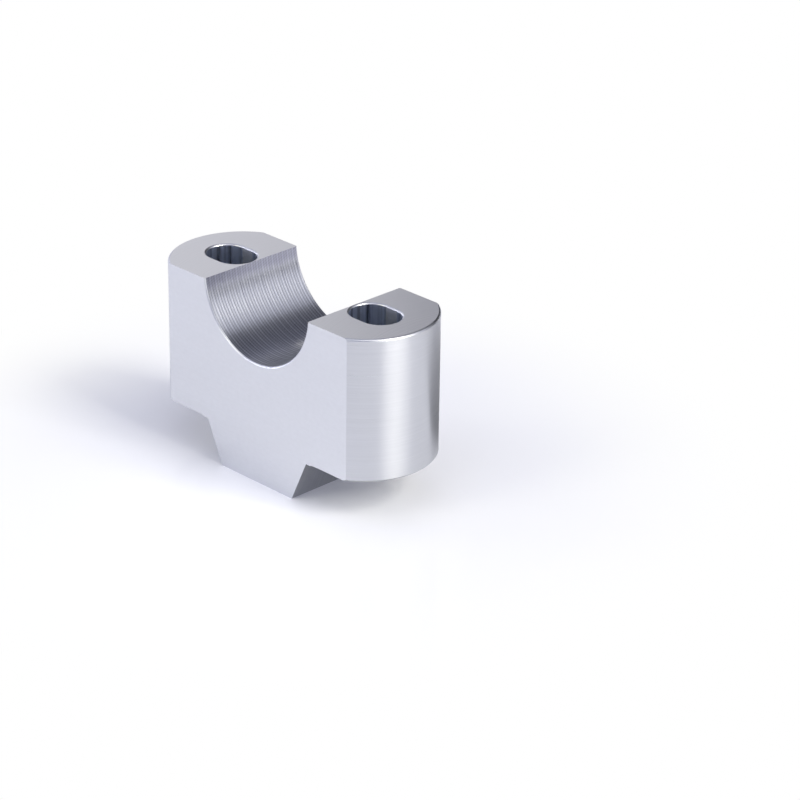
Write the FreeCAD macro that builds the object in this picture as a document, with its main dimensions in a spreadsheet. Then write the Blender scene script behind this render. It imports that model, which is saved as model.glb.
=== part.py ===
# Handlebar riser block for a motorcycle, machined from one aluminium billet.
# The block lifts a tapered handlebar: its tongue seats in the old bar saddle of the
# lower clamp, and its own half-round saddle on top carries the bar at the new height.
# Millimetres. X runs along the block, Y along the bar, Z up. The origin is at the
# middle of the tongue's base, on which the block stands.
import FreeCAD, Part
import math
import os
import Sketcher

PART_NAME = "riser_block"
TOLERANCE = 1e-4

# A sketch's own origin point: geometry and point number
ORIGIN = (-1, 1)

# Elements of a round-ended outline, in the order they are drawn
RIGHT_ARC, LEFT_ARC, REAR_LINE, FRONT_LINE = range(4)

# Driving sizes: alias, value, what it measures
SIZES = (
    ("overall_length", 62.6, "over the two round ends"),
    ("body_width", 24.0, "over the two flats, along the bar"),
    ("end_radius", 14.3, "round ends"),
    ("body_height", 29.0, "shoulders to clamp pads, the rise of the bar"),
    ("tongue_depth", 9.0, "tongue below the shoulders"),
    ("tongue_root_width", 27.8, "tongue where it leaves the block"),
    ("tongue_base_width", 19.8, "tongue at its base"),
    ("root_land_width", 1.7, "raised strip beside the tongue's root"),
    ("root_land_height", 0.25, "how far the strip stands off the shoulder"),
    ("root_land_ramp", 0.6, "sloped outer part of the strip"),
    ("bar_diameter", 28.6, "handlebar at the clamp, and the saddle"),
    ("bar_centre_rise", 1.3, "bar centre above the clamp pads"),
    ("bolt_spacing", 40.0, "between the two bolt slots"),
    ("slot_width", 8.2, "clears an 8 mm bolt"),
    ("slot_length", 10.8, "lets the bolts meet clamps of other pitches"),
    ("mouth_chamfer", 0.3, "mouths of the bolt slots"),
    ("end_chamfer", 0.4, "upper and lower rims of the round ends"),
    ("saddle_chamfer", 0.3, "two rims of the saddle"),
    ("line_count", 33, "shallow V lines machined round the saddle"),
    ("line_margin", 1.0, "plain band at each end of the saddle"),
    ("line_crest", 0.1, "left between two lines, and the bar sits on it"),
    ("line_depth", 0.05, "each line, below the bar's surface"),
    ("cut_overrun", 1.0, "how far a cut runs past the block"),
)

# Heights that follow from the driving sizes, as the sheet's own expressions
PAD_LEVEL = "(Sizes.tongue_depth + Sizes.body_height)"
LAND_LEVEL = "(Sizes.tongue_depth - Sizes.root_land_height)"
BAR_LEVEL = PAD_LEVEL + " + Sizes.bar_centre_rise"

# Machined lines of the saddle: from one to the next, and from the first to the last
LINE_PITCH = "((Sizes.body_width - 2 * Sizes.line_margin) / Sizes.line_count)"
LINES_SPAN = "((Sizes.line_count - 1) * %s)" % LINE_PITCH


def fill_sheet(doc):
    """Puts the driving sizes in the spreadsheet, one to a row."""
    sheet = doc.addObject("Spreadsheet::Sheet", "Sizes")
    for row, (alias, value, meaning) in enumerate(SIZES, start=1):
        sheet.set("A%d" % row, alias)
        sheet.set("B%d" % row, str(value))
        sheet.set("C%d" % row, meaning)
        sheet.setAlias("B%d" % row, alias)
    doc.recompute()
    return sheet


def origin_plane(body, role):
    """The body's own origin plane with this role."""
    for feature in body.Origin.OriginFeatures:
        if feature.Role == role:
            return feature
    raise RuntimeError("no origin plane " + role)


def new_sketch(body, name, role, level=None):
    """A sketch on one of the body's origin planes, at a height bound to the sheet."""
    sketch = body.newObject("Sketcher::SketchObject", name)
    sketch.AttachmentSupport = [(origin_plane(body, role), "")]
    sketch.MapMode = "FlatFace"
    if level:
        sketch.setExpression("AttachmentOffset.Base.z", level)
    return sketch


def evaluate(item, expression):
    """What an expression on the sheet comes to, in millimetres."""
    value = item.evalExpression(expression)
    return float(getattr(value, "Value", value))


def bind(sketch, kind, name, expression, *where):
    """A named dimension of a sketch, bound to the sheet."""
    value = evaluate(sketch, expression)
    index = sketch.addConstraint(Sketcher.Constraint(kind, *where, value))
    sketch.renameConstraint(index, name)
    sketch.setExpression("Constraints." + name, expression)


def join_in_loop(sketch, loop, kind):
    """Joins each element's end to the next one's start, coincident or tangent."""
    for element, following in zip(loop, loop[1:] + loop[:1]):
        sketch.addConstraint(Sketcher.Constraint(kind, element, 2, following, 1))


def draw_polygon(sketch, points):
    """A closed outline of straight lines through the points."""
    for start, end in zip(points, points[1:] + points[:1]):
        line = Part.LineSegment(FreeCAD.Vector(*start, 0), FreeCAD.Vector(*end, 0))
        sketch.addGeometry(line, False)
    join_in_loop(sketch, tuple(range(len(points))), "Coincident")


def draw_round_ended(sketch, left_centre, right_centre, radius, half_angle, join):
    """Two level lines between two equal arcs centred on the X axis, drawn anticlockwise."""
    for centre, middle in ((right_centre, 0.0), (left_centre, math.pi)):
        circle = Part.Circle(FreeCAD.Vector(centre, 0, 0), FreeCAD.Vector(0, 0, 1), radius)
        arc = Part.ArcOfCircle(circle, middle - half_angle, middle + half_angle)
        sketch.addGeometry(arc, False)
    right_arc, left_arc = sketch.Geometry
    sketch.addGeometry(Part.LineSegment(right_arc.EndPoint, left_arc.StartPoint), False)
    sketch.addGeometry(Part.LineSegment(left_arc.EndPoint, right_arc.StartPoint), False)
    sketch.addConstraint(Sketcher.Constraint("Equal", RIGHT_ARC, LEFT_ARC))
    sketch.addConstraint(Sketcher.Constraint("Horizontal", *ORIGIN, RIGHT_ARC, 3))
    sketch.addConstraint(Sketcher.Constraint("Horizontal", *ORIGIN, LEFT_ARC, 3))
    join_in_loop(sketch, (RIGHT_ARC, REAR_LINE, LEFT_ARC, FRONT_LINE), join)


def block_outline(body):
    """Plan of the block: two flats, and round ends a little larger than half the width."""
    sketch = new_sketch(body, "plan_outline", "XY_Plane")
    centre = "Sizes.overall_length / 2 - Sizes.end_radius"
    centre_x = evaluate(sketch, centre)
    radius = evaluate(sketch, "Sizes.end_radius")
    half_angle = math.asin(evaluate(sketch, "Sizes.body_width") / 2 / radius)
    draw_round_ended(sketch, -centre_x, centre_x, radius, half_angle, "Coincident")
    sketch.addConstraint(Sketcher.Constraint("Horizontal", REAR_LINE))
    sketch.addConstraint(Sketcher.Constraint("Horizontal", FRONT_LINE))
    bind(sketch, "Radius", "end_radius", "Sizes.end_radius", RIGHT_ARC)
    bind(sketch, "DistanceX", "right_centre", centre, *ORIGIN, RIGHT_ARC, 3)
    bind(sketch, "DistanceX", "left_centre", centre, LEFT_ARC, 3, *ORIGIN)
    bind(sketch, "DistanceY", "rear_flat", "Sizes.body_width / 2", *ORIGIN, RIGHT_ARC, 2)
    bind(sketch, "DistanceY", "front_flat", "Sizes.body_width / 2", RIGHT_ARC, 1, *ORIGIN)
    return sketch


def shoulder_outline(body):
    """What is milled away beside the tongue: the flank, the root land and the shoulder."""
    sketch = new_sketch(body, "shoulder_outline", "XZ_Plane")
    # Corners from the tongue's base round to the block's lower end
    land_edge = "Sizes.tongue_root_width / 2 + Sizes.root_land_width"
    past_end = "Sizes.overall_length / 2 + Sizes.cut_overrun"
    corners = (
        ("base", "Sizes.tongue_base_width / 2", None),
        ("root", "Sizes.tongue_root_width / 2", LAND_LEVEL),
        ("ramp_start", land_edge + " - Sizes.root_land_ramp", LAND_LEVEL),
        ("ramp_end", land_edge, "Sizes.tongue_depth"),
        ("shoulder_end", past_end, "Sizes.tongue_depth"),
        ("lower_end", past_end, None),
    )
    points = []
    for _, across, up in corners:
        points.append((evaluate(sketch, across), evaluate(sketch, up) if up else 0.0))
    draw_polygon(sketch, points)
    for number, (name, across, up) in enumerate(corners):
        bind(sketch, "DistanceX", name + "_x", across, *ORIGIN, number, 1)
        if up:
            bind(sketch, "DistanceY", name + "_z", up, *ORIGIN, number, 1)
        else:
            sketch.addConstraint(Sketcher.Constraint("Horizontal", *ORIGIN, number, 1))
    return sketch


def saddle_outline(body):
    """The bar's section, with its centre above the clamp pads."""
    sketch = new_sketch(body, "saddle_outline", "XZ_Plane")
    middle = FreeCAD.Vector(0, evaluate(sketch, BAR_LEVEL), 0)
    radius = evaluate(sketch, "Sizes.bar_diameter") / 2
    sketch.addGeometry(Part.Circle(middle, FreeCAD.Vector(0, 0, 1), radius), False)
    sketch.addConstraint(Sketcher.Constraint("Vertical", *ORIGIN, 0, 3))
    bind(sketch, "Diameter", "bar_diameter", "Sizes.bar_diameter", 0)
    bind(sketch, "DistanceY", "bar_centre", BAR_LEVEL, *ORIGIN, 0, 3)
    return sketch


def line_outline(body):
    """Section of the first machined line, in a sketch whose origin is on the bar's axis.

    The V bites below the saddle, and the rest of the outline stays in the air.
    """
    sketch = new_sketch(body, "line_outline", "YZ_Plane")
    sketch.setExpression("AttachmentOffset.Base.y", BAR_LEVEL)
    middle = LINES_SPAN + " / 2"
    half_width = "(%s - Sizes.line_crest) / 2" % LINE_PITCH
    outer = middle + " + " + half_width
    inner = middle + " - " + half_width
    bar_radius = "Sizes.bar_diameter / 2"
    bottom = bar_radius + " + Sizes.line_depth"
    in_the_air = bar_radius + " - Sizes.line_depth"
    # Corners: distance from the block's middle, depth below the bar's axis
    corners = (
        ("start", outer, bar_radius),
        ("bottom", middle, bottom),
        ("end", inner, bar_radius),
        ("above_end", inner, in_the_air),
        ("above_start", outer, in_the_air),
    )
    points = []
    for _, along, down in corners:
        points.append((-evaluate(sketch, along), -evaluate(sketch, down)))
    draw_polygon(sketch, points)
    for number, (name, along, down) in enumerate(corners):
        bind(sketch, "DistanceX", name + "_y", along, number, 1, *ORIGIN)
        bind(sketch, "DistanceY", name + "_z", down, number, 1, *ORIGIN)
    return sketch


def slot_outline(body, name, level, growth=None):
    """A bolt slot's outline at a level, grown all round where it is its mouth."""
    sketch = new_sketch(body, name, "XY_Plane", level)
    half_straight = "(Sizes.slot_length - Sizes.slot_width) / 2"
    outer = "Sizes.bolt_spacing / 2 + " + half_straight
    inner = "Sizes.bolt_spacing / 2 - " + half_straight
    half_width = "Sizes.slot_width / 2"
    if growth:
        half_width += " + " + growth
    inner_x = evaluate(sketch, inner)
    outer_x = evaluate(sketch, outer)
    radius = evaluate(sketch, half_width)
    draw_round_ended(sketch, inner_x, outer_x, radius, math.pi / 2, "Tangent")
    bind(sketch, "Radius", "half_width", half_width, RIGHT_ARC)
    bind(sketch, "DistanceX", "outer_centre", outer, *ORIGIN, RIGHT_ARC, 3)
    bind(sketch, "DistanceX", "inner_centre", inner, *ORIGIN, LEFT_ARC, 3)
    return sketch


def cut_both_ways(body, name, sketch):
    """A cut through the whole block, to both sides of the sketch."""
    pocket = body.newObject("PartDesign::Pocket", name)
    pocket.Profile = sketch
    pocket.SideType = "Symmetric"
    pocket.Type = "ThroughAll"
    return pocket


def cut_mouth(body, name, sketch, depth, upwards):
    """A 45 degree mouth that narrows from the sketch into the block."""
    pocket = body.newObject("PartDesign::Pocket", name)
    pocket.Profile = sketch
    pocket.Type = "Length"
    pocket.Reversed = upwards
    pocket.setExpression("Length", depth)
    pocket.TaperAngle = -45
    return pocket


def mirror_across_middle(body, name, features):
    """The same features at the block's other end."""
    mirrored = body.newObject("PartDesign::Mirrored", name)
    mirrored.Originals = features
    mirrored.MirrorPlane = (origin_plane(body, "YZ_Plane"), [""])
    body.Tip = mirrored
    return mirrored


def chamfer_rims(body, name, size, is_rim):
    """A chamfer on those circular edges of the body's tip that the test picks."""
    base = body.Tip
    rims = []
    for number, edge in enumerate(base.Shape.Edges, start=1):
        if edge.Curve.TypeId == "Part::GeomCircle" and is_rim(edge):
            rims.append("Edge%d" % number)
    if not rims:
        raise RuntimeError("no rim for " + name)
    chamfer = body.newObject("PartDesign::Chamfer", name)
    chamfer.Base = (base, rims)
    chamfer.setExpression("Size", size)
    return chamfer


def same(first, second):
    return abs(first - second) < TOLERANCE


def check_cut(doc, body, volume_before, name):
    """Recomputes, and makes sure that the cut took metal away. Gives the new volume."""
    doc.recompute()
    volume = body.Shape.Volume
    if not volume < volume_before - TOLERANCE:
        raise RuntimeError(name + " cut nothing")
    return volume


def build_block(doc, sheet):
    body = doc.addObject("PartDesign::Body", PART_NAME)
    body.Label = PART_NAME

    block = body.newObject("PartDesign::Pad", "block")
    block.Profile = block_outline(body)
    block.setExpression("Length", PAD_LEVEL)
    doc.recompute()
    volume = body.Shape.Volume

    # Tongue: the metal on both sides of it is milled away up to the shoulders
    shoulder = cut_both_ways(body, "shoulder_cut", shoulder_outline(body))
    volume = check_cut(doc, body, volume, "shoulder_cut")
    mirror_across_middle(body, "shoulders", [shoulder])
    volume = check_cut(doc, body, volume, "shoulders")

    # Round ends: both rims are chamfered, the flats' own edges stay sharp
    end_radius = float(sheet.end_radius)
    chamfer_rims(
        body,
        "end_chamfers",
        "Sizes.end_chamfer",
        lambda edge: same(edge.Curve.Radius, end_radius) and same(abs(edge.Curve.Axis.z), 1),
    )
    volume = check_cut(doc, body, volume, "end_chamfers")

    # Bolt slots, with a countersunk mouth on the pad and on the shoulder
    slot = cut_both_ways(body, "slot_cut", slot_outline(body, "slot_outline", PAD_LEVEL))
    volume = check_cut(doc, body, volume, "slot_cut")
    upper_depth = "Sizes.mouth_chamfer"
    upper_rim = slot_outline(body, "upper_mouth_outline", PAD_LEVEL, upper_depth)
    upper = cut_mouth(body, "upper_mouth", upper_rim, upper_depth, upwards=False)
    volume = check_cut(doc, body, volume, "upper_mouth")
    lower_depth = "Sizes.mouth_chamfer + Sizes.root_land_height"
    lower_rim = slot_outline(body, "lower_mouth_outline", LAND_LEVEL, lower_depth)
    lower = cut_mouth(body, "lower_mouth", lower_rim, lower_depth, upwards=True)
    volume = check_cut(doc, body, volume, "lower_mouth")
    mirror_across_middle(body, "bolt_slots", [slot, upper, lower])
    volume = check_cut(doc, body, volume, "bolt_slots")

    # Saddle: one pass along the bar, then its two rims are broken
    cut_both_ways(body, "saddle", saddle_outline(body))
    volume = check_cut(doc, body, volume, "saddle")
    bar_radius = float(sheet.bar_diameter) / 2
    chamfer_rims(
        body,
        "saddle_rims",
        "Sizes.saddle_chamfer",
        lambda edge: same(edge.Curve.Radius, bar_radius) and same(abs(edge.Curve.Axis.y), 1),
    )
    volume = check_cut(doc, body, volume, "saddle_rims")

    # Machined lines: a shallow V turned round the bar's axis, repeated along the bar
    line = body.newObject("PartDesign::Groove", "saddle_line")
    line.Profile = line_outline(body)
    line.ReferenceAxis = (line.Profile[0], ["H_Axis"])
    line.Angle = 360
    volume = check_cut(doc, body, volume, "saddle_line")
    lines = body.newObject("PartDesign::LinearPattern", "saddle_lines")
    lines.Originals = [line]
    lines.Direction = (line.Profile[0], ["H_Axis"])
    lines.setExpression("Length", LINES_SPAN)
    lines.setExpression("Occurrences", "Sizes.line_count")
    body.Tip = lines
    check_cut(doc, body, volume, "saddle_lines")
    return body


def check_document(doc, body):
    """No object may have failed, and the block is one valid solid."""
    for item in doc.Objects:
        for state in ("Invalid", "Error"):
            if state in item.State:
                raise RuntimeError("%s is %s" % (item.Name, state))
    shape = body.Shape
    if shape.isNull() or not shape.isValid() or len(shape.Solids) != 1:
        raise RuntimeError(body.Label + " is not one valid solid")


def main():
    doc = FreeCAD.newDocument("handlebar_riser")
    sheet = fill_sheet(doc)
    body = build_block(doc, sheet)
    body.Placement = FreeCAD.Placement()
    doc.recompute()
    check_document(doc, body)
    os.makedirs("parts", exist_ok=True)
    body.Shape.exportStep("parts/%s.step" % body.Label)
    box = body.Shape.optimalBoundingBox(False)
    print("%s %.2f x %.2f x %.2f mm" % (body.Label, box.XLength, box.YLength, box.ZLength))
    print("%.0f mm3, %d faces" % (body.Shape.Volume, len(body.Shape.Faces)))


main()
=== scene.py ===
"""A machined aluminium riser block for a motorcycle handlebar, in a plain white studio.

The block carries the bar in a half-round saddle on top, is held by two bolts through
its slots, and seats with a tongue in the lower clamp. Metres; X runs along the block,
Y along the bar, Z up, and the floor is at zero.
"""

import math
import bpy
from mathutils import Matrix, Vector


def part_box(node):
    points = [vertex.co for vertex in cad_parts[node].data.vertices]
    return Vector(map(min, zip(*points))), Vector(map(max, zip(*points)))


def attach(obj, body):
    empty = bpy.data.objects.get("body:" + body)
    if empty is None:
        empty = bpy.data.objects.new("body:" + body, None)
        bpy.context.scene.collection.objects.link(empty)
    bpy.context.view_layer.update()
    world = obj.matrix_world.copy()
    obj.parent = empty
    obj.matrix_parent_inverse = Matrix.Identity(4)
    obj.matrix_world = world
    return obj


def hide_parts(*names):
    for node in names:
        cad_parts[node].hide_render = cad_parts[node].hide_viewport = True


bl_info = {
    "name": "Handlebar riser block",
    "version": (1, 0, 0),
    "blender": (4, 5, 0),
    "location": "3D View > Sidebar > Riser",
    "description": "Builds a machined handlebar riser block and the studio it stands in",
    "category": "Object",
}

import bmesh
import bpy
from mathutils import Matrix, Vector

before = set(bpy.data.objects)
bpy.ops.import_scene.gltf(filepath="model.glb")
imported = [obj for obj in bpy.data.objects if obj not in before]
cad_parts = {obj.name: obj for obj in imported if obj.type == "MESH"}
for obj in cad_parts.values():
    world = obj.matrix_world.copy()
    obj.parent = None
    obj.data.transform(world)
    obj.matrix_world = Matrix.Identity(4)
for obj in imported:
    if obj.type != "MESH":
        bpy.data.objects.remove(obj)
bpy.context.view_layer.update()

NODE = "riser_block"
MM = 0.001
MERGE = 1e-7
BLOCK_LOW, BLOCK_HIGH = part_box(NODE)


# Sizes and colours that a user may change


def length(name, description, default):
    return bpy.props.FloatProperty(
        name=name,
        description=description,
        default=default,
        min=0,
        unit="LENGTH",
        precision=5,
    )


def share(name, description, default):
    return bpy.props.FloatProperty(
        name=name,
        description=description,
        default=default,
        min=0,
        max=1,
        subtype="FACTOR",
    )


def colour(name, description, default):
    return bpy.props.FloatVectorProperty(
        name=name,
        description=description,
        default=default,
        size=3,
        min=0,
        max=1,
        subtype="COLOR",
    )


class RiserBlockSizes(bpy.types.PropertyGroup):
    overall_length: length(
        "Overall length", "Over the two round ends", BLOCK_HIGH.x - BLOCK_LOW.x
    )
    body_width: length("Width", "Over the two flats", BLOCK_HIGH.y - BLOCK_LOW.y)
    pad_level: length("Pad level", "Height of the clamp pads", BLOCK_HIGH.z)
    end_radius: length("End radius", "Radius of the round ends", 14.3 * MM)
    end_chamfer: length("End chamfer", "Rims of the round ends", 0.4 * MM)
    tongue_depth: length("Tongue depth", "Tongue below the shoulders", 9 * MM)
    tongue_root_width: length("Tongue root", "Tongue at the shoulders", 27.8 * MM)
    tongue_base_width: length("Tongue base", "Tongue on the floor", 19.8 * MM)
    land_width: length("Root land", "Raised strip beside the tongue's root", 1.7 * MM)
    land_height: length("Root land height", "How far the strip stands out", 0.25 * MM)
    land_ramp: length("Root land ramp", "Sloped outer part of the strip", 0.6 * MM)
    bar_radius: length("Bar radius", "Radius of the saddle", 14.3 * MM)
    bar_rise: length("Bar rise", "Bar centre above the pads", 1.3 * MM)
    saddle_chamfer: length("Saddle chamfer", "Rims of the saddle", 0.3 * MM)
    line_depth: length("Line depth", "Machined lines round the saddle", 0.022 * MM)
    line_count: bpy.props.IntProperty(
        name="Lines", description="Machined lines round the saddle", default=35, min=1
    )
    bolt_spacing: length("Bolt spacing", "Between the two slots", 40 * MM)
    slot_width: length("Slot width", "Clears the clamp bolt", 8.2 * MM)
    slot_length: length("Slot length", "Along the block", 10.8 * MM)
    mouth_chamfer: length("Mouth chamfer", "Rims of the slots", 0.3 * MM)


class RiserFinish(bpy.types.PropertyGroup):
    metal: colour("Metal", "Clear anodised aluminium", (0.67, 0.68, 0.705))
    # Bluer than the metal: painted bluish light deep in the slots
    slot_metal_painted_light: colour("Slot metal", "Deep in the slots", (0.62, 0.67, 0.78))
    # Colour of the painted shade on the top of the saddle, darker and bluer than the
    # metal
    seat_top_painted_shade_metal: colour("Seat top metal", "Top of the saddle", (0.64, 0.645, 0.76))
    flat_roughness: share("Flats", "Roughness of the flats", 0.4)
    end_roughness: share("Round ends", "Roughness of the round ends", 0.3)
    pad_roughness: share("Pads", "Roughness of the clamp pads", 0.33)
    saddle_roughness: share("Saddle", "Roughness of the saddle", 0.29)
    slot_roughness: share("Slots", "Roughness of the slot walls", 0.3)
    edge_roughness: share("Edges", "Roughness of the deburred edges", 0.36)
    underside_roughness: share("Undersides", "Roughness below the shoulders", 0.12)


class RiserStudio(bpy.types.PropertyGroup):
    floor: colour("Floor", "Pale table", (0.93, 0.935, 0.96))
    floor_size: length("Floor size", "Side of the square floor", 4.0)


# Shader nodes written as Python expressions


class Wire:
    """A node's output. Operators on it add Math nodes."""

    def __init__(self, tree, socket):
        self.tree = tree
        self.socket = socket

    def __add__(self, other):
        return self.tree.math("ADD", self, other)

    def __radd__(self, other):
        return self.tree.math("ADD", other, self)

    def __sub__(self, other):
        return self.tree.math("SUBTRACT", self, other)

    def __rsub__(self, other):
        return self.tree.math("SUBTRACT", other, self)

    def __mul__(self, other):
        return self.tree.math("MULTIPLY", self, other)

    def __rmul__(self, other):
        return self.tree.math("MULTIPLY", other, self)

    def __pow__(self, other):
        return self.tree.math("POWER", self, other)

    def __rpow__(self, other):
        return self.tree.math("POWER", other, self)


class NodeTree:
    """A material's or the world's node tree, filled by its node method."""

    def __init__(self, owner):
        owner.use_nodes = True
        self.tree = owner.node_tree
        self.tree.nodes.clear()

    def node(self, kind, settings=None, inputs=None, output=0):
        """Adds a node: its settings first, then the values or links of its sockets."""
        node = self.tree.nodes.new(kind)
        for key, value in (settings or {}).items():
            setattr(node, key, value)
        for key, value in (inputs or {}).items():
            if isinstance(value, Wire):
                self.tree.links.new(value.socket, node.inputs[key])
            else:
                node.inputs[key].default_value = value
        return Wire(self, node.outputs[output]) if node.outputs else None

    def math(self, operation, *values):
        """Adds a Math node."""
        inputs = dict(enumerate(values))
        return self.node("ShaderNodeMath", {"operation": operation}, inputs)


def rgba(shade):
    return (*shade, 1.0)


WHITE = rgba((1, 1, 1))

# A Mix node has several sockets of each name, so its colours go by number
MIX_A, MIX_B, MIX_RESULT = 6, 7, 2


# Mesh helpers


def verts_of(geometry):
    return [item for item in geometry if isinstance(item, bmesh.types.BMVert)]


def draw_line(bm, points):
    """Vertices through the points, joined one to the next."""
    verts = [bm.verts.new(point) for point in points]
    edges = [bm.edges.new(pair) for pair in zip(verts, verts[1:])]
    return verts + edges


def close_up(bm):
    """Merges seams, fills open rims and turns the faces outwards."""
    bmesh.ops.remove_doubles(bm, verts=bm.verts, dist=MERGE)
    rims = [edge for edge in bm.edges if edge.is_boundary]
    if rims:
        bmesh.ops.holes_fill(bm, edges=rims, sides=0)
    bmesh.ops.recalc_face_normals(bm, faces=bm.faces)


def long_round(profile, steps, half_straight, centre_x=0):
    """Spins a (radius, level) profile about Z and pulls its halves apart along X.

    No vertex lies on the dividing plane, so the stretch between is straight.
    """
    bm = bmesh.new()
    geometry = draw_line(bm, [(radius, 0, level) for radius, level in profile])
    half_step = Matrix.Rotation(math.pi / 2 + math.pi / steps, 3, "Z")
    bmesh.ops.rotate(bm, verts=verts_of(geometry), cent=(0, 0, 0), matrix=half_step)
    bmesh.ops.spin(
        bm,
        geom=geometry,
        cent=(0, 0, 0),
        axis=(0, 0, 1),
        angle=math.tau,
        steps=steps,
        use_merge=True,
    )
    close_up(bm)
    for side in (-1, 1):
        half = [vert for vert in bm.verts if vert.co.x * side > 0]
        bmesh.ops.translate(bm, verts=half, vec=(side * half_straight, 0, 0))
    bmesh.ops.translate(bm, verts=bm.verts, vec=(centre_x, 0, 0))
    return bm


def as_object(name, bm):
    """Moves the mesh into a new object of the scene."""
    mesh = bpy.data.meshes.new(name)
    bm.to_mesh(mesh)
    bm.free()
    made = bpy.data.objects.new(name, mesh)
    bpy.context.scene.collection.objects.link(made)
    return made


def carve(block, cutters):
    """Cuts the cutters out of the block, for good, and deletes them."""
    for cutter in cutters:
        cut = block.modifiers.new(cutter.name, "BOOLEAN")
        cut.operation = "DIFFERENCE"
        cut.solver = "EXACT"
        cut.object = cutter
    graph = bpy.context.evaluated_depsgraph_get()
    graph.update()
    carved = bpy.data.meshes.new_from_object(block.evaluated_get(graph))
    plain = block.data
    block.modifiers.clear()
    block.data = carved
    bpy.data.meshes.remove(plain)
    for cutter in cutters:
        mesh = cutter.data
        bpy.data.objects.remove(cutter)
        bpy.data.meshes.remove(mesh)


# The block

# How far cutters reach past what they cut
OVERRUN = 1 * MM

# Sides of a full turn, and of one line's nose
END_STEPS = 256
SLOT_STEPS = 96
SADDLE_STEPS = 288
LINE_STEPS = 6

# How far a deburred edge has turned in, and how far it has run on, at its two creases:
# shares of the edge's width
CREASES = ((0.21, 0.45), (0.55, 0.79))


def plain_block(sizes):
    """The bar of metal with round ends and two flats, its end rims deburred."""
    radius, chamfer = sizes.end_radius, sizes.end_chamfer
    shoulder, top = sizes.tongue_depth, sizes.pad_level
    rim = [
        (radius - chamfer * turned, top - chamfer + chamfer * run)
        for turned, run in CREASES
    ]
    profile = (
        (radius - 2 * chamfer, 0),
        (radius - 2 * chamfer, shoulder - chamfer),
        (radius, shoulder + chamfer),
        (radius, top - chamfer),
        *rim,
        (radius - chamfer, top),
    )
    bm = long_round(profile, END_STEPS, sizes.overall_length / 2 - radius)
    for side in (-1, 1):
        bmesh.ops.bisect_plane(
            bm,
            geom=bm.verts[:] + bm.edges[:] + bm.faces[:],
            dist=MERGE,
            plane_co=(0, side * sizes.body_width / 2, 0),
            plane_no=(0, side, 0),
            clear_outer=True,
        )
        close_up(bm)
    return bm


def shoulder_cutter(sizes, side):
    """What is milled away beside the tongue: flank, root land and shoulder."""
    flank_bottom = sizes.tongue_base_width / 2
    flank_top = sizes.tongue_root_width / 2
    land = sizes.tongue_depth - sizes.land_height
    slope = (flank_top - flank_bottom) / land
    past_end = sizes.overall_length / 2 + OVERRUN
    outline = (
        (flank_bottom - slope * OVERRUN, -OVERRUN),
        (flank_top, land),
        (flank_top + sizes.land_width - sizes.land_ramp, land),
        (flank_top + sizes.land_width, sizes.tongue_depth),
        (past_end, sizes.tongue_depth),
        (past_end, -OVERRUN),
    )
    half_width = sizes.body_width / 2 + OVERRUN
    bm = bmesh.new()
    corners = [bm.verts.new((side * across, -half_width, up)) for across, up in outline]
    section = bmesh.ops.contextual_create(bm, geom=corners)["faces"]
    far_side = bmesh.ops.extrude_face_region(bm, geom=section)["geom"]
    bmesh.ops.translate(bm, verts=verts_of(far_side), vec=(0, 2 * half_width, 0))
    bmesh.ops.recalc_face_normals(bm, faces=bm.faces)
    return bm


def slot_cutter(sizes, side):
    """A bolt slot with a countersunk mouth at both ends."""
    radius, mouth = sizes.slot_width / 2, sizes.mouth_chamfer
    low, top = sizes.tongue_depth - sizes.land_height, sizes.pad_level
    deep_mouth = mouth + sizes.land_height
    rim = [
        (radius + mouth * turned, top - mouth + mouth * run)
        for turned, run in CREASES
    ]
    profile = (
        (radius + deep_mouth + OVERRUN, low - OVERRUN),
        (radius, low + deep_mouth),
        (radius, top - mouth),
        *rim,
        (radius + mouth, top),
        (radius + mouth + OVERRUN, top + OVERRUN),
    )
    half_straight = (sizes.slot_length - sizes.slot_width) / 2
    return long_round(profile, SLOT_STEPS, half_straight, side * sizes.bolt_spacing / 2)


def saddle_cutter(sizes):
    """The bar's seat: shallow machined lines side by side, and both rims deburred."""
    radius = sizes.bar_radius
    half_seat = sizes.body_width / 2 - sizes.saddle_chamfer
    pitch = 2 * half_seat / sizes.line_count
    half_line, depth = pitch / 2, sizes.line_depth
    nose = (half_line**2 + depth**2) / (2 * depth)
    sweep = 2 * math.asin(half_line / nose)
    bm = bmesh.new()

    # One line's nose is an arc, and the rest are copies of it along the bar
    start = bm.verts.new((-half_seat, 0, -radius))
    centre = (-half_seat + half_line, 0, nose - radius - depth)
    bmesh.ops.spin(
        bm, geom=[start], cent=centre, axis=(0, -1, 0), angle=sweep, steps=LINE_STEPS
    )
    line = bm.verts[:] + bm.edges[:]
    for number in range(1, sizes.line_count):
        copy = bmesh.ops.duplicate(bm, geom=line)["geom"]
        bmesh.ops.translate(bm, verts=verts_of(copy), vec=(number * pitch, 0, 0))

    chamfer = sizes.saddle_chamfer
    for side in (-1, 1):
        rim = [
            (side * (half_seat + chamfer * run), 0, -radius - chamfer * turned)
            for turned, run in ((0, 0), *CREASES, (1, 1))
        ]
        past = chamfer + OVERRUN
        draw_line(bm, [*rim, (side * (half_seat + past), 0, -radius - past)])
    bmesh.ops.remove_doubles(bm, verts=bm.verts, dist=MERGE)
    bmesh.ops.spin(
        bm,
        geom=bm.verts[:] + bm.edges[:],
        cent=(0, 0, 0),
        axis=(1, 0, 0),
        angle=math.tau,
        steps=SADDLE_STEPS,
        use_merge=True,
    )
    close_up(bm)

    along_y = Matrix.Rotation(math.pi / 2, 3, "Z")
    bmesh.ops.rotate(bm, verts=bm.verts, cent=(0, 0, 0), matrix=along_y)
    bar_level = sizes.pad_level + sizes.bar_rise
    bmesh.ops.translate(bm, verts=bm.verts, vec=(0, 0, bar_level))
    return bm


FINISHES = ("flat", "round_end", "pad", "saddle", "slot_wall", "broken_edge", "underside")

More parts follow.
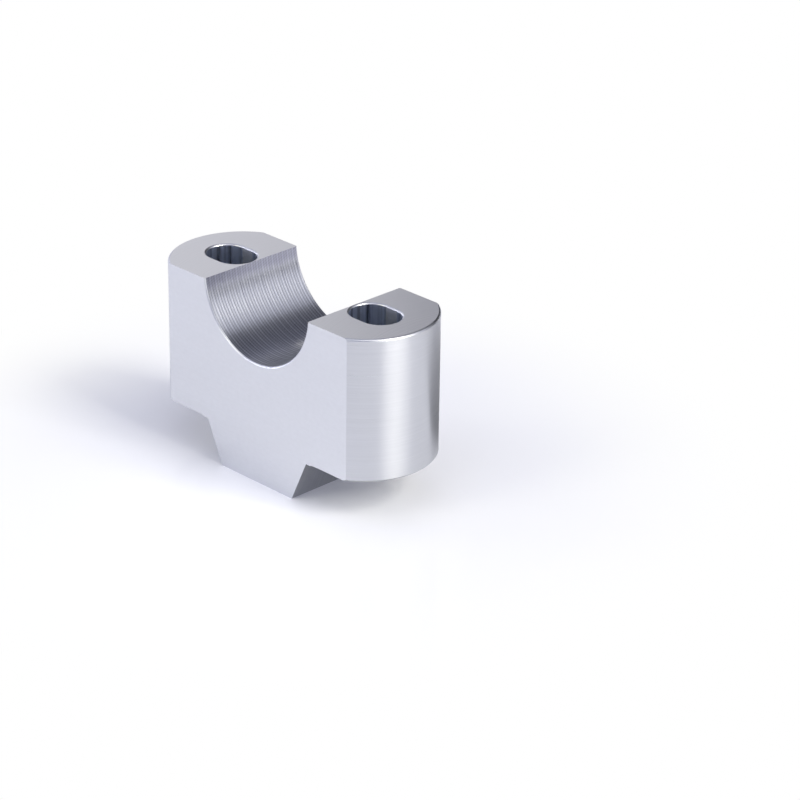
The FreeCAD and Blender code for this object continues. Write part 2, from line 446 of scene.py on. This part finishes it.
# When a face counts as square to an axis or as upright, and how near its surface it lies:
# a pad, a round wall, and the saddle, in depths of its lines
SQUARE = 0.999
UPRIGHT = 0.01
ON_PAD = 0.001 * MM
ON_WALL = 0.1 * MM
ON_SADDLE = 1.5


def finish_of(face, sizes):
    """Which finish a face has, by where it lies and where it faces."""
    middle, normal = face.calc_center_median(), face.normal
    if abs(normal.y) > SQUARE:
        return "flat"
    if normal.z > SQUARE and middle.z > sizes.pad_level - ON_PAD:
        return "pad"
    bar_level = sizes.pad_level + sizes.bar_rise
    past_bar = math.hypot(middle.x, middle.z - bar_level) - sizes.bar_radius
    in_seat = abs(middle.y) < sizes.body_width / 2 - sizes.saddle_chamfer
    if past_bar < (ON_SADDLE * sizes.line_depth if in_seat else sizes.saddle_chamfer):
        return "saddle" if in_seat else "broken_edge"
    half_straight = (sizes.slot_length - sizes.slot_width) / 2
    past_straight = abs(abs(middle.x) - sizes.bolt_spacing / 2) - half_straight
    from_slot = math.hypot(max(past_straight, 0), middle.y)
    upright = abs(normal.z) < UPRIGHT
    if upright and from_slot < sizes.slot_width / 2 + ON_WALL:
        return "slot_wall"
    end_centre = sizes.overall_length / 2 - sizes.end_radius
    from_end = math.hypot(abs(middle.x) - end_centre, middle.y)
    if upright and from_end > sizes.end_radius - ON_WALL:
        return "round_end"
    rims = max(sizes.end_chamfer, sizes.mouth_chamfer)
    return "broken_edge" if middle.z > sizes.pad_level - rims else "underside"


# Neighbouring faces that turn more than this keep a sharp edge
SHARP_ANGLE = math.radians(30)


def dress(block, sizes, materials):
    """Gives each face its finish, and shades curved faces smooth between sharp edges."""
    for name in FINISHES:
        block.data.materials.append(materials[name])
    bm = bmesh.new()
    bm.from_mesh(block.data)
    bmesh.ops.remove_doubles(bm, verts=bm.verts, dist=MERGE)
    bm.normal_update()
    for face in bm.faces:
        name = finish_of(face, sizes)
        face.material_index = FINISHES.index(name)
        face.smooth = name not in ("flat", "pad", "underside")
    for edge in bm.edges:
        if len(edge.link_faces) != 2:
            raise RuntimeError("the block is not closed")
        one, other = edge.link_faces
        parted = one.material_index != other.material_index
        edge.smooth = not parted and edge.calc_face_angle() < SHARP_ANGLE
    bm.to_mesh(block.data)
    bm.free()


# Finishes of the metal

# Grains per metre along X, Y and Z: few grains along a tool's path, many across it
BRUSHED = (35, 150, 3200)
BEADED = (900, 900, 1400)
TURNED = (30, 30, 2600)
TURNED_PATCHES = (90, 90, 160)
MILLED_PATCHES = (60, 60, 60)
SCRATCHED = (25, 3600, 25)
WANDERING = (700, 500, 200)
DRAWN = (900, 900, 12)
NICKED = (900, 900, 900)
UNDER_MILLED = (30, 2500, 30)

# The face mill's radius and its arcs per metre, clearer on the right end
MILL_RADIUS = 30 * MM
MILL_ARCS = 2800
CLEAR_FROM = 22 * MM
CLEAR_REACH = 6 * MM

# The cutter's marks round a full turn of the saddle. Its painted lines fade from
# FAINT_BELOW_PADS up; from DULL_AND_SHADE_BELOW_PADS up it is rougher, with painted shade
CHATTER_MARKS = 176
FAINT_BELOW_PADS = 9 * MM
FAINT_REACH = 5 * MM
DULL_AND_SHADE_BELOW_PADS = 3.3 * MM
DULL_AND_SHADE_REACH = 2.2 * MM
DULL_AND_SHADE_WANDER = 0.9 * MM

# Streaks in the slots brighten the metal up to this level, which stays below white
BRIGHTEST_STREAK = 1.28

# Height of the tool marks where a bump has a strength of one
RIPPLE = 0.02 * MM


def billet(name, build):
    """The metal with a finish, whose build function sets the shader's sockets."""
    material = bpy.data.materials.new(name)
    tree = NodeTree(material)
    shader = tree.node("ShaderNodeBsdfPrincipled", None, {"Metallic": 1.0, **build(tree)})
    tree.node("ShaderNodeOutputMaterial", None, {"Surface": shader})
    return material


def place(tree):
    """The Object coordinates, in metres."""
    return tree.node("ShaderNodeTexCoord", output="Object")


def place_xyz(tree):
    """The three Object coordinates one by one."""
    parts = tree.node("ShaderNodeSeparateXYZ", None, {"Vector": place(tree)})
    return [Wire(tree, socket) for socket in parts.socket.node.outputs]


def grain(tree, per_metre, detail=2.0, roughness=0.5):
    """Noise with its own number of grains per metre along X, Y and Z, around zero."""
    mapped = tree.node(
        "ShaderNodeMapping", None, {"Vector": place(tree), "Scale": per_metre}
    )
    noise = tree.node(
        "ShaderNodeTexNoise",
        {"noise_dimensions": "3D"},
        {"Vector": mapped, "Scale": 1.0, "Detail": detail, "Roughness": roughness},
    )
    return noise - 0.5


def rise(tree, value, start, reach):
    """From 0 at start to 1 at start + reach, eased at both."""
    return tree.node(
        "ShaderNodeMapRange",
        {"interpolation_type": "SMOOTHSTEP"},
        {"Value": value, "From Min": start, "From Max": start + reach},
    )


def shaded(tree, shade, level):
    """A colour made lighter or darker by a level that varies over the surface."""
    return tree.node(
        "ShaderNodeVectorMath", {"operation": "SCALE"}, {"Vector": shade, "Scale": level}
    )


def ripples(tree, height, strength):
    """The normals of a surface with fine tool marks."""
    return tree.node(
        "ShaderNodeBump",
        None,
        {"Height": height, "Strength": strength, "Distance": RIPPLE},
    )


def make_materials(finish, sizes):
    """The metal with each of its finishes, by the finish's name.

    A number beside a kind of mark is its share in the colour's level, in the roughness
    or in the normals. A level of one leaves the metal's own colour; levels above one on
    the flats, pads, deburred edges and slot walls paint light, and the undersides' lower
    level paints shade.
    """

    def flat(tree):
        brushing = grain(tree, BRUSHED, 3.0, 0.6)
        beading = grain(tree, BEADED)
        # The level of 1.03 paints a little light on the flats
        level = 1.03 + brushing * 0.06 + beading * 0.06
        return {
            "Base Color": shaded(tree, finish.metal, level),
            "Roughness": finish.flat_roughness + brushing * 0.1,
            "Normal": ripples(tree, brushing, 0.12),
        }

    def round_end(tree):
        turning = grain(tree, TURNED, 4.0, 0.7)
        lines = turning * (grain(tree, TURNED_PATCHES) + 0.5)
        return {
            "Base Color": shaded(tree, finish.metal, 1.03 + lines * 0.38),
            "Roughness": finish.end_roughness + lines * 0.25,
            "Normal": ripples(tree, lines, 0.15),
            "Anisotropic": 0.9,
            "Anisotropic Rotation": 0.25,
        }

    def pad(tree):
        along, across, _ = place_xyz(tree)
        bow = (MILL_RADIUS**2 - across * across) ** 0.5
        number = (along + bow) * MILL_ARCS
        arcs = tree.node(
            "ShaderNodeTexNoise",
            {"noise_dimensions": "1D"},
            {"W": number, "Scale": 1.0, "Detail": 3.0, "Roughness": 0.6},
        )
        clear = 0.8 + rise(tree, along, CLEAR_FROM, CLEAR_REACH)
        marks = (arcs - 0.5) * (grain(tree, MILLED_PATCHES) + 0.5) * clear
        return {
            # The level of 1.04 paints a little light on the pads
            "Base Color": shaded(tree, finish.metal, 1.04 + marks * 0.25),
            "Roughness": finish.pad_roughness + marks * 0.1,
            "Normal": ripples(tree, marks, 0.06),
        }

    def saddle(tree):
        across, along_bar, up = place_xyz(tree)
        pitch = (sizes.body_width - 2 * sizes.saddle_chamfer) / sizes.line_count
        phase = along_bar * (math.pi / pitch)
        every_line = tree.math("COSINE", phase * 2)
        every_other = tree.math("COSINE", phase)
        bar_level = sizes.pad_level + sizes.bar_rise
        turned = tree.math("ARCTAN2", up - bar_level, across)
        chatter = tree.math("COSINE", turned * CHATTER_MARKS + phase)
        scratches = grain(tree, SCRATCHED, 2.0, 0.6)
        # The top of the saddle turns a little rougher and gets painted shade: its colour
        # turns darker and bluer
        wavering = up + grain(tree, WANDERING) * DULL_AND_SHADE_WANDER
        dull_and_painted_shade = rise(tree, wavering, sizes.pad_level - DULL_AND_SHADE_BELOW_PADS, DULL_AND_SHADE_REACH)
        faint = rise(tree, up, sizes.pad_level - FAINT_BELOW_PADS, FAINT_REACH)
        clear = 1 - faint * 0.25 - dull_and_painted_shade * 0.4
        # The colour lines paint light and shade over the shallow machined grooves,
        # fainter towards the top
        lines = (every_line * 0.22 + every_other * 0.09) * clear
        level = 1.0 + lines + scratches * 0.07 + chatter * 0.055 - dull_and_painted_shade * 0.4
        metal, top_metal = rgba(finish.metal), rgba(finish.seat_top_painted_shade_metal)
        shade = tree.node(
            "ShaderNodeMix",
            {"data_type": "RGBA"},
            {"Factor": dull_and_painted_shade, MIX_A: metal, MIX_B: top_metal},
            output=MIX_RESULT,
        )
        return {
            "Base Color": shaded(tree, shade, level),
            "Roughness": finish.saddle_roughness + scratches * 0.1 + dull_and_painted_shade * 0.06,
            "Normal": ripples(tree, scratches, 0.02),
        }

    def slot_wall(tree):
        streaks = grain(tree, DRAWN, 3.0, 0.6)
        # The level of 1.1 and the bluer slot colour paint light on the slot walls
        level = tree.math("MINIMUM", 1.1 + streaks * 3.2, BRIGHTEST_STREAK)
        return {
            "Base Color": shaded(tree, finish.slot_metal_painted_light, level),
            "Roughness": finish.slot_roughness + streaks * 0.2,
            "Normal": ripples(tree, streaks, 0.35),
        }

    def broken_edge(tree):
        nicks = grain(tree, NICKED, 3.0)
        return {
            # The level of 1.05 paints a little light on the deburred edges
            "Base Color": shaded(tree, finish.metal, 1.05 + nicks * 0.1),
            "Roughness": finish.edge_roughness + nicks * 0.1,
            "Normal": ripples(tree, nicks, 0.02),
        }

    def underside(tree):
        milling = grain(tree, UNDER_MILLED, 3.0, 0.6)
        return {
            # A level of 0.75 paints shade on the faces below the shoulders
            "Base Color": shaded(tree, finish.metal, 0.75 + milling * 0.2),
            "Roughness": finish.underside_roughness + milling * 0.1,
            "Normal": ripples(tree, milling, 0.15),
        }

    builders = (flat, round_end, pad, saddle, slot_wall, broken_edge, underside)
    return {
        name: billet("aluminium_" + name, build)
        for name, build in zip(FINISHES, builders)
    }


class RISER_OT_block(bpy.types.Operator):
    """Build the riser block with its saddle, slots, shoulders and tongue"""

    bl_idname = "riser.block"
    bl_label = "Riser block"

    def execute(self, context):
        sizes = context.scene.riser_sizes
        block = as_object("riser_block_body", plain_block(sizes))
        cutters = [as_object("saddle_cutter", saddle_cutter(sizes))]
        for side, word in ((-1, "left"), (1, "right")):
            shoulder, slot = shoulder_cutter(sizes, side), slot_cutter(sizes, side)
            cutters.append(as_object(word + "_shoulder_cutter", shoulder))
            cutters.append(as_object(word + "_slot_cutter", slot))
        carve(block, cutters)
        dress(block, sizes, make_materials(context.scene.riser_finish, sizes))
        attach(block, "root")
        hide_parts(NODE)
        return {"FINISHED"}


# The studio

# The camera, fitted to the block's own edges: how far round from -Y towards +X and how
# high it stands, its roll, its distance from the floor's centre, how far right of there
# and above it looks, and its lens and sensor in millimetres
CAMERA_AZIMUTH = math.radians(44.953)
CAMERA_ELEVATION = math.radians(24.997)
CAMERA_ROLL = 0.01438
CAMERA_DISTANCE = 590.072 * MM
CAMERA_ASIDE = (19.071 * MM, 12.257 * MM)
CAMERA_LENS = 136.19
SENSOR = 36.0
CLIP = (0.01, 20)


def place_camera():
    """The camera at the photograph's own viewpoint."""
    level = math.cos(CAMERA_ELEVATION)
    back = Vector(
        (
            math.sin(CAMERA_AZIMUTH) * level,
            -math.cos(CAMERA_AZIMUTH) * level,
            math.sin(CAMERA_ELEVATION),
        )
    )
    right = Vector((math.cos(CAMERA_AZIMUTH), math.sin(CAMERA_AZIMUTH), 0))
    up = back.cross(right)
    turned = Matrix.Rotation(CAMERA_ROLL, 3, back)
    right, up = turned @ right, turned @ up
    data = bpy.data.cameras.new("studio_camera")
    data.lens = CAMERA_LENS
    data.sensor_width = SENSOR
    data.clip_start, data.clip_end = CLIP
    camera = bpy.data.objects.new("studio_camera", data)
    aside, above = CAMERA_ASIDE
    spot = aside * right + above * up + CAMERA_DISTANCE * back
    axes = Matrix((right, up, back)).transposed().to_4x4()
    camera.matrix_world = Matrix.Translation(spot) @ axes
    bpy.context.scene.collection.objects.link(camera)
    bpy.context.scene.camera = camera


# Softboxes: azimuth from +X towards +Y and elevation in degrees, width and height in
# metres, and the colour of the lit face, where 1 is white
SOFTBOX_DISTANCE = 1.2
SOFTBOX_AIM = Vector((0, 0, 20 * MM))
SOFTBOXES = {
    "key_softbox": (8, 39, 0.42, 0.55, (12.2, 11.9, 10.4)),
    "right_softbox": (46, 33, 1.0, 0.9, (0.42, 0.43, 0.52)),
    "right_low_softbox": (4, 9.5, 0.9, 0.35, (2.4, 2.35, 2.2)),
    "front_left_softbox": (229, 7, 1.1, 0.28, (4.4, 4.47, 5.35)),
    "left_low_softbox": (184, 11, 0.34, 0.24, (3.4, 3.4, 3.5)),
    "upper_front_softbox": (257, 32, 0.4, 0.8, (1.9, 1.85, 1.3)),
    "upper_left_softbox": (208, 38, 0.4, 0.4, (1.5, 1.5, 1.35)),
    "top_softbox": (315, 68, 0.5, 0.35, (1.8, 1.8, 1.6)),
    "back_left_softbox": (152, 24, 0.75, 0.5, (0.86, 0.84, 0.81)),
}


def heading(azimuth, elevation):
    """The unit vector towards an azimuth and elevation in degrees."""
    turn, lift = math.radians(azimuth), math.radians(elevation)
    level = math.cos(lift)
    return Vector((math.cos(turn) * level, math.sin(turn) * level, math.sin(lift)))


def softbox(name, azimuth, elevation, width, height, face):
    """An area lamp that stands in a direction from the block and faces it."""
    brightest = max(face)
    data = bpy.data.lights.new(name, "AREA")
    data.shape = "RECTANGLE"
    data.size = width
    data.size_y = height
    data.energy = math.pi * width * height * brightest
    data.color = [level / brightest for level in face]
    lamp = bpy.data.objects.new(name, data)
    lamp.visible_camera = False
    direction = heading(azimuth, elevation)
    spot = SOFTBOX_AIM + direction * SOFTBOX_DISTANCE
    aside = Vector((0, 0, 1)).cross(direction).normalized()
    axes = Matrix((aside, direction.cross(aside), direction)).transposed().to_4x4()
    lamp.matrix_world = Matrix.Translation(spot) @ axes
    bpy.context.scene.collection.objects.link(lamp)


# The room is black towards its dark wall, and reaches its own light where the cosine
# of the angle from there has fallen by DARK_REACH
ROOM_LIGHT = (0.37, 0.385, 0.53)
DARK_WALL = heading(87, 15)
DARK_REACH = 0.8


def light_world():
    """White to the camera. To everything else, a soft grey room with one dark wall."""
    world = bpy.data.worlds.new("studio_world")
    bpy.context.scene.world = world
    tree = NodeTree(world)
    direction = tree.node("ShaderNodeTexCoord", output="Generated")
    to_wall = tree.node(
        "ShaderNodeVectorMath",
        {"operation": "DOT_PRODUCT"},
        {0: direction, 1: DARK_WALL},
        output="Value",
    )
    lit = rise(tree, to_wall, 1.0, -DARK_REACH)
    room = tree.node(
        "ShaderNodeBackground", None, {"Color": rgba(ROOM_LIGHT), "Strength": lit}
    )
    white = tree.node("ShaderNodeBackground", None, {"Color": WHITE, "Strength": 1.0})
    seen = tree.node("ShaderNodeLightPath", output="Is Camera Ray")
    mixed = tree.node("ShaderNodeMixShader", None, {0: seen, 1: room, 2: white})
    tree.node("ShaderNodeOutputWorld", None, {"Surface": mixed})


# To the camera the table is this much brighter, and it turns white away from the block
FLOOR_GAIN = 1.12
WHITE_FROM = 35 * MM
WHITE_AT = 90 * MM
POLISH_ROUGHNESS = 0.12
POLISH_IOR = 1.25

# Reflections show painted shade: a dim patch of the table behind the right end
DIM_PATCH = Vector((17, 64, 0)) * MM
DIM_RADIUS = 29 * MM
DIM_EDGE = 6 * MM
DIM_LEVEL = 0.3


def lay_floor(studio):
    """A pale, slightly polished table that keeps the block's shadow."""
    bm = bmesh.new()
    bmesh.ops.create_grid(bm, x_segments=1, y_segments=1, size=studio.floor_size / 2)
    floor = as_object("studio_floor", bm)
    material = bpy.data.materials.new("studio_floor")
    tree = NodeTree(material)
    spot = place(tree)

    # As other rays see it, with a patch of painted shade
    from_dim = tree.node(
        "ShaderNodeVectorMath",
        {"operation": "DISTANCE"},
        {0: spot, 1: DIM_PATCH},
        output="Value",
    )
    # The painted shade: the floor's colour falls to DIM_LEVEL inside the patch
    lit = DIM_LEVEL + rise(tree, from_dim, DIM_RADIUS, DIM_EDGE) * (1 - DIM_LEVEL)
    floor_in_painted_shade = shaded(tree, studio.floor, lit)
    matt = tree.node("ShaderNodeBsdfDiffuse", None, {"Color": floor_in_painted_shade})

    # As the camera sees it
    bright = [level * FLOOR_GAIN for level in studio.floor]
    matt_seen = tree.node("ShaderNodeBsdfDiffuse", None, {"Color": rgba(bright)})
    polish = tree.node("ShaderNodeBsdfGlossy", None, {"Roughness": POLISH_ROUGHNESS})
    grazing = tree.node("ShaderNodeFresnel", None, {"IOR": POLISH_IOR})
    table = tree.node("ShaderNodeMixShader", None, {0: grazing, 1: matt_seen, 2: polish})
    from_block = tree.node(
        "ShaderNodeVectorMath",
        {"operation": "LENGTH"},
        {0: spot},
        output="Value",
    )
    far = rise(tree, from_block, WHITE_FROM, WHITE_AT - WHITE_FROM)
    white = tree.node("ShaderNodeEmission", None, {"Color": WHITE, "Strength": 1.0})
    fading = tree.node("ShaderNodeMixShader", None, {0: far, 1: table, 2: white})

    seen = tree.node("ShaderNodeLightPath", output="Is Camera Ray")
    mixed = tree.node("ShaderNodeMixShader", None, {0: seen, 1: matt, 2: fading})
    tree.node("ShaderNodeOutputMaterial", None, {"Surface": mixed})
    floor.data.materials.append(material)


class RISER_OT_studio(bpy.types.Operator):
    """Lay the floor, place the camera and light the studio"""

    bl_idname = "riser.studio"
    bl_label = "Studio"

    def execute(self, context):
        lay_floor(context.scene.riser_studio)
        light_world()
        for name, setting in SOFTBOXES.items():
            softbox(name, *setting)
        place_camera()
        context.scene.view_settings.view_transform = "Standard"
        return {"FINISHED"}


class RISER_PT_panel(bpy.types.Panel):
    """Riser block and studio"""

    bl_idname = "RISER_PT_panel"
    bl_label = "Handlebar riser"
    bl_space_type = "VIEW_3D"
    bl_region_type = "UI"
    bl_category = "Riser"

    def draw(self, context):
        for operator in OPERATORS:
            self.layout.operator(operator.bl_idname)
        for setting, group in GROUPS.items():
            box = self.layout.box()
            for name in group.__annotations__:
                box.prop(getattr(context.scene, setting), name)


GROUPS = {
    "riser_sizes": RiserBlockSizes,
    "riser_finish": RiserFinish,
    "riser_studio": RiserStudio,
}
OPERATORS = (RISER_OT_block, RISER_OT_studio)
CLASSES = (*GROUPS.values(), *OPERATORS, RISER_PT_panel)


def register():
    for made in CLASSES:
        bpy.utils.register_class(made)
    for name, group in GROUPS.items():
        setattr(bpy.types.Scene, name, bpy.props.PointerProperty(type=group))


def unregister():
    for name in GROUPS:
        delattr(bpy.types.Scene, name)
    for made in reversed(CLASSES):
        bpy.utils.unregister_class(made)


def main():
    register()
    bpy.ops.riser.block()
    bpy.ops.riser.studio()


if __name__ == "__main__":
    main()
